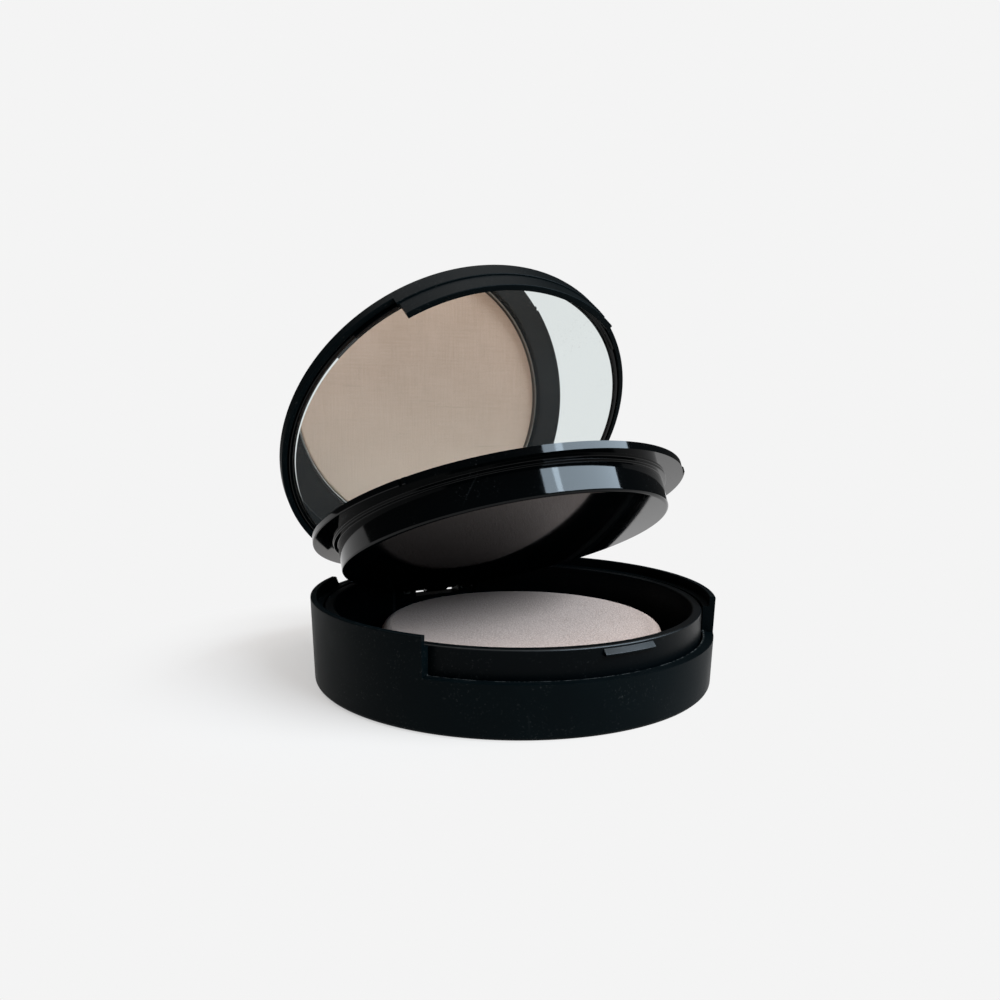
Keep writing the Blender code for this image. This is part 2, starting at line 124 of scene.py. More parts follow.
world = bpy.data.worlds.new("room")
world.use_nodes = True
bpy.context.scene.world = world
world_nodes = world.node_tree.nodes
world_links = world.node_tree.links
world_nodes.clear()
world_out = world_nodes.new("ShaderNodeOutputWorld")
seen_by_camera = world_nodes.new("ShaderNodeMixShader")
room_light = world_nodes.new("ShaderNodeBackground")
backdrop = world_nodes.new("ShaderNodeBackground")
ray_kind = world_nodes.new("ShaderNodeLightPath")
backdrop.inputs["Color"].default_value = (BACKGROUND, BACKGROUND, BACKGROUND, 1.0)
direction = world_nodes.new("ShaderNodeTexCoord")
split = world_nodes.new("ShaderNodeSeparateXYZ")
height_ramp = world_nodes.new("ShaderNodeMapRange")
height_ramp.interpolation_type = "SMOOTHSTEP"
height_ramp.inputs["From Min"].default_value = CEILING_START
height_ramp.inputs["From Max"].default_value = CEILING_FULL
height_ramp.inputs["To Min"].default_value = ROOM_GLOW
height_ramp.inputs["To Max"].default_value = CEILING_GLOW
room_light.inputs["Color"].default_value = (1.0, 0.99, 0.98, 1.0)
world_links.new(direction.outputs["Generated"], split.inputs["Vector"])
world_links.new(split.outputs["Z"], height_ramp.inputs["Value"])
world_links.new(height_ramp.outputs["Result"], room_light.inputs["Strength"])
world_links.new(ray_kind.outputs["Is Camera Ray"], seen_by_camera.inputs["Fac"])
world_links.new(room_light.outputs["Background"], seen_by_camera.inputs[1])
world_links.new(backdrop.outputs["Background"], seen_by_camera.inputs[2])
world_links.new(seen_by_camera.outputs["Shader"], world_out.inputs["Surface"])


WINDOW_DISTANCE = 1.6
WINDOW_ELEVATION = 35.0
WINDOW_HEIGHT = 0.70
WINDOW_RADIANCE = 12.0
WINDOW_COLOR = (0.70, 0.86, 1.0)
LEFT_PANE = ("left_pane", 9.0, 0.32)
RIGHT_PANE = ("right_pane", 41.0, 1.30)

for name, azimuth, width in (LEFT_PANE, RIGHT_PANE):
    pane_data = bpy.data.lights.new(name, "AREA")
    pane_data.shape = "RECTANGLE"
    pane_data.size = width
    pane_data.size_y = WINDOW_HEIGHT
    pane_data.energy = WINDOW_RADIANCE * math.pi * width * WINDOW_HEIGHT
    pane_data.color = WINDOW_COLOR
    pane = bpy.data.objects.new(name, pane_data)
    raised = Matrix.Rotation(math.radians(-WINDOW_ELEVATION), 3, "X")
    swung = Matrix.Rotation(math.radians(azimuth), 3, "Z")
    pane.location = swung @ raised @ Vector((0.0, -WINDOW_DISTANCE, 0.0))
    pane.rotation_euler = (-pane.location).to_track_quat("-Z", "Y").to_euler()
    bpy.context.scene.collection.objects.link(pane)

# The hinge that the whole compact turns on.
# One steel pin runs along X at the back; the tray and the lid stand open about it, so every piece
# on them is drawn shut and then turned to where it rests.

joints = {joint["name"]: joint for joint in frame["joints"]}
hinge = Vector(joints["tray_hinge"]["pos_m"])
tray_angle = -math.radians(joints["tray_hinge"]["range_deg"][0])
lid_angle = tray_angle - math.radians(joints["lid_hinge"]["range_deg"][0])


def opened(angle):
    """The turn about the hinge that takes a shut piece to where it rests."""
    back = Matrix.Translation(-hinge)
    return Matrix.Translation(hinge) @ Matrix.Rotation(-angle, 4, "X") @ back


tray_rest = opened(tray_angle)
lid_rest = opened(lid_angle)


def shut_size(node, rest):
    """Radius, underside and top of a CAD node when the compact is shut."""
    undo = rest.inverted()
    points = [undo @ vert.co for vert in frame["nodes"][node].data.vertices]
    heights = [point.z for point in points]
    return max(point.x for point in points), min(heights), max(heights)


# Outer case, an injection-moulded ABS shell with a fine satin texture.
# Its front is lowered so that a finger can lift the lid, its back is lowered and notched for the
# hinge, and inside the raised lip runs the step that the tray sits over.

MM = 0.001
ROUND_STEPS = 270
ARC_STEPS = 5
BAR_STEPS = 64
FAR = 60.0 * MM

body_radius, shell_bottom, base_height = shut_size("base_shell", Matrix.Identity(4))
liner_outer, liner_bottom, seat_height = shut_size("puff_well", Matrix.Identity(4))
LIP_WALL = 1.1 * MM
SHELL_WALL = 2.3 * MM
SHELL_FLOOR = 1.0 * MM
LEDGE_HEIGHT = 9.0 * MM
CUTAWAY_HALF_ANGLE = 51.7
REAR_LOW_HALF_ANGLE = 46.0
REAR_LOW_LEAN = 2.5
REAR_CUT_HEIGHT = 2.3 * MM
FOOT_FILLET = 0.8 * MM
WALL_DRAFT = 0.7 * MM
EDGE = 0.22 * MM
FINE_EDGE = 0.12 * MM
NOTCH_HALF_WIDTH = 5.3 * MM
NOTCH_DEPTH = 2.7 * MM
EAR_WIDTH = 3.6 * MM
EAR_DEPTH = 1.9 * MM
EAR_TOP = 2.2 * MM
EAR_FOOT = 0.8 * MM
POCKET_GAP = 0.4 * MM
PIN_BORE = 0.75 * MM
BORE_HALF_LENGTH = 8.4 * MM

lip_radius = body_radius - LIP_WALL
shell_radius = body_radius - SHELL_WALL
notch_floor = hinge.z - NOTCH_DEPTH
ear_half_width = NOTCH_HALF_WIDTH + EAR_WIDTH
ear_top = hinge.z + EAR_TOP


def rounded(corners):
    """Outline through (radius, height, fillet) corners, each fillet an arc."""
    points = []
    count = len(corners)
    for index, (radius, height, fillet) in enumerate(corners):
        here = Vector((radius, height))
        if fillet == 0.0:
            points.append(here)
            continue
        before = (Vector(corners[index - 1][:2]) - here).normalized()
        after = (Vector(corners[(index + 1) % count][:2]) - here).normalized()
        half = before.angle(after) / 2.0
        middle = here + (before + after).normalized() * (fillet / math.sin(half))
        start = here + before * (fillet / math.tan(half)) - middle
        turn = start.angle_signed(here + after * (fillet / math.tan(half)) - middle)
        for step in range(ARC_STEPS + 1):
            spoke = start.copy()
            spoke.rotate(Matrix.Rotation(-turn * step / ARC_STEPS, 2))
            points.append(middle + spoke)
    return points


def new_piece(name, bm):
    """Object from a closed bmesh, doubles merged and faces turned outwards."""
    bmesh.ops.remove_doubles(bm, verts=bm.verts, dist=0.0005 * MM)
    bmesh.ops.recalc_face_normals(bm, faces=bm.faces)
    mesh = bpy.data.meshes.new(name)
    bm.to_mesh(mesh)
    bm.free()
    piece = bpy.data.objects.new(name, mesh)
    bpy.context.scene.collection.objects.link(piece)
    return piece


def spun(name, corners, center=0.0, half_angle=180.0):
    """Sweep an outline about Z; 0 degrees is the front and 180 the back."""
    start = math.radians(center - half_angle)
    side = Vector((math.sin(start), -math.cos(start), 0.0))
    outline = [side * point.x + Vector((0.0, 0.0, point.y)) for point in rounded(corners)]
    bm = bmesh.new()
    verts = [bm.verts.new(point) for point in outline]
    if half_angle < 180.0:
        start_geom = [bm.faces.new(verts)]
        steps = max(2, round(half_angle / 180.0 * ROUND_STEPS))
    else:
        pairs = list(zip(verts, verts[1:]))
        if corners[0][0] > 0.0:
            pairs.append((verts[-1], verts[0]))
        start_geom = verts + [bm.edges.new(pair) for pair in pairs]
        steps = ROUND_STEPS
    bmesh.ops.spin(
        bm,
        geom=start_geom,
        cent=(0.0, 0.0, 0.0),
        axis=(0.0, 0.0, 1.0),
        angle=math.radians(2.0 * half_angle),
        steps=steps,
        use_merge=half_angle == 180.0,
    )
    return new_piece(name, bm)


def block(name, low, high):
    bm = bmesh.new()
    bmesh.ops.create_cube(bm, size=1.0)
    bmesh.ops.scale(bm, vec=Vector(high) - Vector(low), verts=bm.verts)
    bmesh.ops.translate(bm, vec=(Vector(high) + Vector(low)) / 2.0, verts=bm.verts)
    return new_piece(name, bm)


def hinge_bar(name, radius, x_low, x_high, edge=0.0):
    """Round bar along the hinge axis, its end edges rounded."""
    bm = bmesh.new()
    middle = Matrix.Translation(((x_low + x_high) / 2.0, hinge.y, hinge.z))
    bmesh.ops.create_cone(
        bm,
        cap_ends=True,
        radius1=radius,
        radius2=radius,
        depth=x_high - x_low,
        segments=BAR_STEPS,
        matrix=middle @ Matrix.Rotation(math.pi / 2.0, 4, "Y"),
    )
    if edge > 0.0:
        rims = [e for e in bm.edges if all(abs(v.co.x - e.verts[0].co.x) < 1e-7 for v in e.verts)]
        bmesh.ops.bevel(
            bm, geom=rims, offset=edge, affect="EDGES", segments=3, profile=0.5, material=-1
        )
    return new_piece(name, bm)


def combine(piece, tool, operation):
    """Cut a tool out of a piece or join it on, and throw the tool away."""
    modifier = piece.modifiers.new(tool.name, "BOOLEAN")
    modifier.operation = operation
    modifier.solver = "EXACT"
    modifier.object = tool
    graph = bpy.context.evaluated_depsgraph_get()
    mesh = bpy.data.meshes.new_from_object(piece.evaluated_get(graph))
    piece.modifiers.clear()
    piece.data = mesh
    bpy.data.objects.remove(tool, do_unlink=True)


def cut(piece, tool):
    combine(piece, tool, "DIFFERENCE")


def join(piece, tool):
    combine(piece, tool, "UNION")


def finish(piece, material, rest=Matrix.Identity(4)):
    """Move a piece to where it rests, shade it and give it its material."""
    piece.data.transform(rest)
    piece.data.materials.clear()
    piece.data.materials.append(material)
    piece.data.shade_smooth()
    piece.data.set_sharp_from_angle(angle=math.radians(32.0))
    weighted = piece.modifiers.new("weighted_normals", "WEIGHTED_NORMAL")
    weighted.keep_sharp = True
    graph = bpy.context.evaluated_depsgraph_get()
    piece.data = bpy.data.meshes.new_from_object(piece.evaluated_get(graph))
    piece.modifiers.clear()


def node_group(name, inputs, outputs):
    """Empty shader group with named float or colour sockets."""
    group = bpy.data.node_groups.new(name, "ShaderNodeTree")
    for socket, kind in inputs:
        group.interface.new_socket(name=socket, in_out="INPUT", socket_type=kind)
    for socket, kind in outputs:
        group.interface.new_socket(name=socket, in_out="OUTPUT", socket_type=kind)
    return group, group.nodes.new("NodeGroupInput"), group.nodes.new("NodeGroupOutput")


def math_node(nodes, links, operation, first, second):
    node = nodes.new("ShaderNodeMath")
    node.operation = operation
    for socket, value in zip(node.inputs, (first, second)):
        if isinstance(value, (int, float)):
            socket.default_value = value
        else:
            links.new(value, socket)
    return node.outputs["Value"]


def noise_node(nodes, links, vector, scale, detail=4.0, roughness=0.5):
    node = nodes.new("ShaderNodeTexNoise")
    node.inputs["Scale"].default_value = scale
    node.inputs["Detail"].default_value = detail
    node.inputs["Roughness"].default_value = roughness
    links.new(vector, node.inputs["Vector"])
    return node.outputs["Fac"]


def ramp_node(nodes, links, value, low, high, to_low=0.0, to_high=1.0):
    node = nodes.new("ShaderNodeMapRange")
    node.interpolation_type = "SMOOTHSTEP"
    node.inputs["From Min"].default_value = low
    node.inputs["From Max"].default_value = high
    node.inputs["To Min"].default_value = to_low
    node.inputs["To Max"].default_value = to_high
    links.new(value, node.inputs["Value"])
    return node.outputs["Result"]


def blend_node(nodes, links, factor, first, second):
    """Colour between two colours; each is a socket or an RGB triple."""
    node = nodes.new("ShaderNodeMix")
    node.data_type = "RGBA"
    links.new(factor, node.inputs["Factor"])
    for socket, value in ((node.inputs["A"], first), (node.inputs["B"], second)):
        if isinstance(value, tuple):
            socket.default_value = (*value, 1.0)
        else:
            links.new(value, socket)
    return node.outputs["Result"]


def make_specks():
    """Dust specks and lint: a mask of small irregular dots in drifting patches."""
    floats = "NodeSocketFloat"
    group, given, out = node_group(
        "dust_specks", [("Vector", "NodeSocketVector"), ("Amount", floats)], [("Mask", floats)]
    )
    nodes, links = group.nodes, group.links
    fine = noise_node(nodes, links, given.outputs["Vector"], 2600.0, 2.0, 0.6)
    patches = noise_node(nodes, links, given.outputs["Vector"], 130.0, 3.0, 0.6)
    dots = ramp_node(nodes, links, fine, 0.60, 0.72)
    drift = ramp_node(nodes, links, patches, 0.42, 0.66)
    mask = math_node(nodes, links, "MULTIPLY", dots, drift)
    mask = math_node(nodes, links, "MULTIPLY", mask, given.outputs["Amount"])
    links.new(mask, out.inputs["Mask"])
    return group


def make_scuffs():
    """Hairline scuffs: long thin lines in two directions, broken into short runs."""
    floats = "NodeSocketFloat"
    group, given, out = node_group(
        "hairline_scuffs", [("Vector", "NodeSocketVector"), ("Amount", floats)], [("Mask", floats)]
    )
    nodes, links = group.nodes, group.links
    total = None
    for angle, stretch in ((0.5, 60.0), (-0.9, 45.0)):
        turned = nodes.new("ShaderNodeMapping")
        turned.inputs["Rotation"].default_value = (angle, angle * 0.6, angle)
        turned.inputs["Scale"].default_value = (stretch, 2200.0, stretch)
        links.new(given.outputs["Vector"], turned.inputs["Vector"])
        lines = noise_node(nodes, links, turned.outputs["Vector"], 1.0, 1.0)
        lines = ramp_node(nodes, links, lines, 0.71, 0.76)
        total = lines if total is None else math_node(nodes, links, "MAXIMUM", total, lines)
    where = noise_node(nodes, links, given.outputs["Vector"], 90.0, 2.0)
    where = ramp_node(nodes, links, where, 0.45, 0.62)
    mask = math_node(nodes, links, "MULTIPLY", total, where)
    mask = math_node(nodes, links, "MULTIPLY", mask, given.outputs["Amount"])
    links.new(mask, out.inputs["Mask"])
    return group


dust_specks = make_specks()
hairline_scuffs = make_scuffs()


def place_group(nodes, links, group, vector, amount):
    node = nodes.new("ShaderNodeGroup")
    node.node_tree = group
    links.new(vector, node.inputs["Vector"])
    if isinstance(amount, (int, float)):
        node.inputs["Amount"].default_value = amount
    else:
        links.new(amount, node.inputs["Amount"])
    return node.outputs["Mask"]


def new_material(name):
    material = bpy.data.materials.new(name)
    material.use_nodes = True
    nodes = material.node_tree.nodes
    links = material.node_tree.links
    place = nodes.new("ShaderNodeTexCoord").outputs["Object"]
    return material, nodes, links, nodes["Principled BSDF"], place


def bump(nodes, links, shader, height, strength, distance):
    node = nodes.new("ShaderNodeBump")
    node.inputs["Strength"].default_value = strength
    node.inputs["Distance"].default_value = distance
    links.new(height, node.inputs["Height"])
    links.new(node.outputs["Normal"], shader.inputs["Normal"])


def black_plastic(name, color, roughness, specular, polish, grain, dust, scuff):
    """Moulded black ABS: moulding grain, upper edges burnished by use, dust and hairline scuffs."""
    material, nodes, links, shader, place = new_material(name)
    specks = place_group(nodes, links, dust_specks, place, dust)
    lines = place_group(nodes, links, hairline_scuffs, place, scuff)
    cloudy = noise_node(nodes, links, place, 70.0, 3.0)
    shade = ramp_node(nodes, links, cloudy, 0.3, 0.7)
    lighter = tuple(channel * 1.3 for channel in color)
    base = blend_node(nodes, links, shade, color, lighter)
    base = blend_node(nodes, links, lines, base, (0.10, 0.11, 0.11))
    base = blend_node(nodes, links, specks, base, (0.24, 0.24, 0.23))
    links.new(base, shader.inputs["Base Color"])
    gloss = ramp_node(nodes, links, cloudy, 0.3, 0.7, roughness * 0.88, roughness * 1.12)
    gloss = math_node(nodes, links, "ADD", gloss, math_node(nodes, links, "MULTIPLY", specks, 0.4))
    links.new(gloss, shader.inputs["Roughness"])
    shader.inputs["Specular IOR Level"].default_value = specular
    facing = nodes.new("ShaderNodeSeparateXYZ")
    links.new(nodes.new("ShaderNodeTexCoord").outputs["Normal"], facing.inputs["Vector"])
    burnish = ramp_node(nodes, links, facing.outputs["Z"], 0.05, 0.45, specular, specular + polish)
    links.new(burnish, shader.inputs["Specular IOR Level"])
    texture = noise_node(nodes, links, place, 5200.0, 2.0, 0.6)
    height = math_node(nodes, links, "ADD", texture, math_node(nodes, links, "MULTIPLY", specks, 1.5))
    bump(nodes, links, shader, height, grain, 0.02 * MM)
    return material


case_plastic = black_plastic(
    "case_plastic",
    color=(0.0010, 0.0026, 0.0032),
    roughness=0.42,
    specular=0.03,
    polish=0.05,
    grain=0.3,
    dust=0.08,
    scuff=0.04,
)

# Powder crumbs and a painted highlight lie along the inner edge of the ledge, beside the liner: one
# pale broken line paints both.
CRUMB_HIGHLIGHT_CORE = 0.15 * MM
CRUMB_HIGHLIGHT_REACH = 0.5 * MM

nodes, links = case_plastic.node_tree.nodes, case_plastic.node_tree.links
shader = nodes["Principled BSDF"]
place = nodes.new("ShaderNodeTexCoord").outputs["Object"]
flattened = nodes.new("ShaderNodeMapping")
flattened.inputs["Scale"].default_value = (1.0, 1.0, 0.0)
links.new(place, flattened.inputs["Vector"])
from_axis = nodes.new("ShaderNodeVectorMath")
from_axis.operation = "LENGTH"
links.new(flattened.outputs["Vector"], from_axis.inputs[0])
split_place = nodes.new("ShaderNodeSeparateXYZ")
links.new(place, split_place.inputs["Vector"])
outward = math_node(nodes, links, "SUBTRACT", from_axis.outputs["Value"], shell_radius)
upward = math_node(nodes, links, "SUBTRACT", split_place.outputs["Z"], LEDGE_HEIGHT)
off_edge = math_node(nodes, links, "MAXIMUM", outward, math_node(nodes, links, "ABSOLUTE", upward, 0.0))
crumb_and_highlight_band = ramp_node(nodes, links, off_edge, CRUMB_HIGHLIGHT_CORE, CRUMB_HIGHLIGHT_REACH, 1.0, 0.0)
crumbs_and_edge_highlight = ramp_node(nodes, links, noise_node(nodes, links, place, 1500.0, 3.0, 0.7), 0.46, 0.60)
crumbs_and_edge_highlight = math_node(nodes, links, "MULTIPLY", crumbs_and_edge_highlight, crumb_and_highlight_band)
clean = shader.inputs["Base Color"].links[0].from_socket
links.new(blend_node(nodes, links, crumbs_and_edge_highlight, clean, (0.12, 0.125, 0.12)), shader.inputs["Base Color"])

case = spun("base_case", [
    (0.0, shell_bottom, 0.0),
    (body_radius - WALL_DRAFT, shell_bottom, FOOT_FILLET),
    (body_radius, base_height, EDGE),
    (lip_radius, base_height, FINE_EDGE),
    (lip_radius, seat_height, FINE_EDGE),
    (shell_radius, seat_height, FINE_EDGE),
    (shell_radius, SHELL_FLOOR, FOOT_FILLET),
    (0.0, SHELL_FLOOR, 0.0),
])
ledge_edge = 0.25 * MM
cut(case, spun("front_cutaway", [
    (liner_outer - SHELL_WALL, LEDGE_HEIGHT - ledge_edge, 0.0),
    (shell_radius, LEDGE_HEIGHT - ledge_edge, 0.0),
    (shell_radius, LEDGE_HEIGHT, ledge_edge),
    (body_radius, LEDGE_HEIGHT, ledge_edge),
    (body_radius, LEDGE_HEIGHT - ledge_edge, 0.0),
    (FAR, LEDGE_HEIGHT - ledge_edge, 0.0),
    (FAR, FAR, 0.0),
    (liner_outer - SHELL_WALL, FAR, 0.0),
], 0.0, CUTAWAY_HALF_ANGLE))
rear_cut_top = seat_height + REAR_CUT_HEIGHT
rear_cut = spun("rear_low_rim", [
    (lip_radius - EDGE, seat_height, 0.0),
    (body_radius, seat_height, EDGE),
    (body_radius, seat_height - EDGE, 0.0),
    (FAR, seat_height - EDGE, 0.0),
    (FAR, rear_cut_top, 0.0),
    (lip_radius - EDGE, rear_cut_top, 0.0),
], 180.0, REAR_LOW_HALF_ANGLE)
for vert in rear_cut.data.vertices:
    if vert.co.z < rear_cut_top - EDGE:
        from_back = math.atan2(vert.co.x, vert.co.y)
        lean = from_back * REAR_LOW_LEAN / REAR_LOW_HALF_ANGLE
        vert.co.rotate(Matrix.Rotation(lean, 3, "Z"))
cut(case, rear_cut)
pocket_half_width = ear_half_width + POCKET_GAP
cut(case, block("hinge_pocket", (-pocket_half_width, 0.0, ear_top), (pocket_half_width, FAR, FAR)))
ears_low = (-ear_half_width, hinge.y - EAR_DEPTH, notch_floor - EAR_FOOT)
join(case, block("hinge_ears", ears_low, (ear_half_width, hinge.y, ear_top)))
notch_low = (-NOTCH_HALF_WIDTH, 0.0, notch_floor)
cut(case, block("hinge_notch", notch_low, (NOTCH_HALF_WIDTH, FAR, FAR)))
cut(case, hinge_bar("ear_bore", PIN_BORE, -BORE_HALF_LENGTH, BORE_HALF_LENGTH))
finish(case, case_plastic)
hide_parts("base_shell")
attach(case, "base")

# Puff well, a separate polished liner pressed into the case.
# Its wall stands up as a collar in the lowered front and carries the small wedge that the lid's
# tongue snaps over; powder dust and a painted edge highlight lie where the collar meets the case.

LINER_WALL = 1.7 * MM
LINER_FLOOR = 0.8 * MM
LINER_FILLET = 0.7 * MM
COLLAR_EDGE = 0.35 * MM
CATCH_CENTER_ANGLE = 1.5
CATCH_HALF_ANGLE = 8.0
CATCH_DEPTH = 0.75 * MM
CATCH_HEIGHT = 1.1 * MM
CATCH_LAND = 0.35 * MM
CATCH_DROP = 0.5 * MM
LINER_GAP = 0.3 * MM

liner_inner = liner_outer - LINER_WALL
liner_floor_top = liner_bottom + LINER_FLOOR

well_plastic = black_plastic(
    "well_plastic",
    color=(0.0004, 0.0012, 0.0016),
    roughness=0.34,
    specular=0.05,
    polish=0.35,
    grain=0.25,
    dust=0.05,
    scuff=0.1,
)

well = spun("puff_well_liner", [
    (0.0, liner_bottom, 0.0),
    (liner_outer, liner_bottom, LINER_GAP),
    (liner_outer, seat_height, COLLAR_EDGE),
    (liner_inner, seat_height, COLLAR_EDGE),
    (liner_inner, liner_floor_top, LINER_FILLET),
    (0.0, liner_floor_top, 0.0),
])
catch_bottom = seat_height - CATCH_DROP - CATCH_HEIGHT
join(well, spun("latch_catch", [
    (liner_outer - LINER_GAP, catch_bottom, 0.0),
    (liner_outer + CATCH_DEPTH, catch_bottom, FINE_EDGE),
    (liner_outer + CATCH_DEPTH, catch_bottom + CATCH_LAND, FINE_EDGE),
    (liner_outer, catch_bottom + CATCH_HEIGHT, 0.0),
    (liner_outer - LINER_GAP, catch_bottom + CATCH_HEIGHT, 0.0),
], CATCH_CENTER_ANGLE, CATCH_HALF_ANGLE))
well_notch = ear_half_width + LINER_GAP
well_notch_floor = notch_floor - EAR_FOOT - LINER_GAP
cut(well, block("well_notch", (-well_notch, 0.0, well_notch_floor), (well_notch, FAR, FAR)))
finish(well, well_plastic)
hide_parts("puff_well")
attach(well, "base")

# Puff, a loose round of flocked sponge.
# It springs up a little higher than the shut tray allows, and the tray presses it flat again.

PUFF_RISE = 1.5 * MM
TOWARD_SHADED = (-0.5, 0.85, 0.0)
SHADE_START = -20.0 * MM
SHADE_FULL = 24.0 * MM

puff_low, puff_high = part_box("puff")
puff_center = (puff_low + puff_high) / 2.0
puff_radius = (puff_high.x - puff_low.x) / 2.0
puff_top = puff_high.z + PUFF_RISE
puff_half = (puff_top - puff_low.z) / 2.0

sponge, nodes, links, shader, place = new_material("flocked_sponge")
mottle = ramp_node(nodes, links, noise_node(nodes, links, place, 260.0, 5.0, 0.6), 0.3, 0.7)
grain = noise_node(nodes, links, place, 2400.0, 3.0, 0.65)
tone = blend_node(nodes, links, mottle, (0.60, 0.415, 0.335), (0.68, 0.485, 0.40))
tone = blend_node(nodes, links, ramp_node(nodes, links, grain, 0.35, 0.65), tone, (0.76, 0.56, 0.47))
# Painted shade darkens the sponge most towards its back left, away from the window, and the tone drifts
# across it.
across = nodes.new("ShaderNodeVectorMath")
across.operation = "DOT_PRODUCT"
across.inputs[1].default_value = TOWARD_SHADED
links.new(place, across.inputs[0])
painted_shade = ramp_node(nodes, links, across.outputs["Value"], SHADE_START, SHADE_FULL, 0.0, 0.85)
tone = blend_node(nodes, links, painted_shade, tone, (0.27, 0.19, 0.155))
links.new(tone, shader.inputs["Base Color"])
shader.inputs["Roughness"].default_value = 0.95
shader.inputs["Specular IOR Level"].default_value = 0.15
shader.inputs["Sheen Weight"].default_value = 0.12
shader.inputs["Sheen Roughness"].default_value = 0.6
bump(nodes, links, shader, grain, 1.0, 0.20 * MM)

puff = spun("sponge_puff", [
    (0.0, puff_low.z, 0.0),
    (puff_radius, puff_low.z, puff_half * 0.42),
    (puff_radius, puff_top, puff_half * 0.55),
    (0.0, puff_top, 0.0),
])
puff.data.transform(Matrix.Translation((puff_center.x, puff_center.y, 0.0)))
finish(puff, sponge)
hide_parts("puff")
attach(puff, "base")
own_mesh(puff)

# Hinge pin, drawn steel wire pressed through the ears and the knuckles.

pin_low, pin_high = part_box("hinge_pin")
steel, nodes, links, shader, place = new_material("drawn_steel")
draw_lines = nodes.new("ShaderNodeMapping")
draw_lines.inputs["Scale"].default_value = (40.0, 6000.0, 6000.0)
links.new(place, draw_lines.inputs["Vector"])
drawn = noise_node(nodes, links, draw_lines.outputs["Vector"], 1.0, 2.0)
steel_tone = blend_node(nodes, links, drawn, (0.42, 0.42, 0.43), (0.62, 0.62, 0.62))
links.new(steel_tone, shader.inputs["Base Color"])
links.new(ramp_node(nodes, links, drawn, 0.3, 0.7, 0.22, 0.38), shader.inputs["Roughness"])
shader.inputs["Metallic"].default_value = 1.0
pin = hinge_bar("steel_pin", (pin_high.z - pin_low.z) / 2.0, pin_low.x, pin_high.x, FINE_EDGE)
finish(pin, steel)
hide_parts("hinge_pin")
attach(pin, "base")

# Powder tray, a polished ABS cup under a flat flange.
# The flange drops inside the case's lip, a step under it centres the cup in the well, and the
# middle knuckle of the hinge hangs from the back of the cup.

CUP_DEPTH = 6.0 * MM
CUP_WALL = 1.4 * MM
CUP_FLOOR = 1.0 * MM
CUP_CLEARANCE = 2.0 * MM
NECK_WIDTH = 0.8 * MM
NECK_HEIGHT = 0.6 * MM
MOUTH_CHAMFER = 0.3 * MM
FLANGE_THICKNESS = 1.3 * MM
FLANGE_FRONT_STEP = 0.4 * MM
FLANGE_FRONT_HALF_ANGLE = 52.5
FLANGE_REAR_FLAT = 1.96 * MM
FLANGE_SLOT = 0.6 * MM
TRAY_KNUCKLE_RADIUS = 2.4 * MM
TRAY_KNUCKLE_HALF_WIDTH = 2.6 * MM
SEAT_GAP = 0.4 * MM

flange_radius, _, flange_top = shut_size("powder_tray", tray_rest)
cup_radius = liner_inner - CUP_CLEARANCE
pocket_radius = cup_radius - CUP_WALL
flange_bottom = flange_top - FLANGE_THICKNESS
cup_bottom = flange_bottom - CUP_DEPTH
cup_floor_top = cup_bottom + CUP_FLOOR
neck_radius = cup_radius + NECK_WIDTH

tray_plastic = black_plastic(
    "tray_plastic",
    color=(0.0004, 0.0008, 0.0010),
    roughness=0.06,
    specular=0.17,
    polish=0.1,
    grain=0.03,
    dust=0.04,
    scuff=0.05,
)

tray = spun("tray_cup", [
    (0.0, cup_bottom, 0.0),
    (cup_radius, cup_bottom, 0.6 * MM),
    (cup_radius, flange_bottom - NECK_HEIGHT, FINE_EDGE),
    (neck_radius, flange_bottom - NECK_HEIGHT, FINE_EDGE),
    (neck_radius, flange_bottom, FINE_EDGE),
    (flange_radius, flange_bottom, EDGE),
    (flange_radius, flange_top, 0.3 * MM),
    (pocket_radius, flange_top, MOUTH_CHAMFER),
    (pocket_radius, cup_floor_top, EDGE),
    (0.0, cup_floor_top, 0.0),
])
below = flange_bottom - SEAT_GAP
front_radius = flange_radius - FLANGE_FRONT_STEP
trim = [
    (front_radius, below, 0.0),
    (FAR, below, 0.0),
    (FAR, flange_top + SEAT_GAP, 0.0),
    (front_radius, flange_top + SEAT_GAP, 0.0),
]
cut(tray, spun("flange_front_step", trim, 0.0, FLANGE_FRONT_HALF_ANGLE))
slot_half_angle = math.degrees(FLANGE_SLOT / 2.0 / flange_radius)
for side in (-1.0, 1.0):
    slot_center = side * (FLANGE_FRONT_HALF_ANGLE + 3.0 * slot_half_angle)
    cut(tray, spun("flange_slot", trim, slot_center, slot_half_angle))


def extruded(name, outline, x_low, x_high):
    """Extrude a rounded (y, z) outline along X."""
    bm = bmesh.new()
    face = bm.faces.new([bm.verts.new((x_low, point.x, point.y)) for point in rounded(outline)])
    grown = bmesh.ops.extrude_face_region(bm, geom=[face], use_keep_orig=True)
    moved = [item for item in grown["geom"] if isinstance(item, bmesh.types.BMVert)]
    bmesh.ops.translate(bm, vec=(x_high - x_low, 0.0, 0.0), verts=moved)
    return new_piece(name, bm)


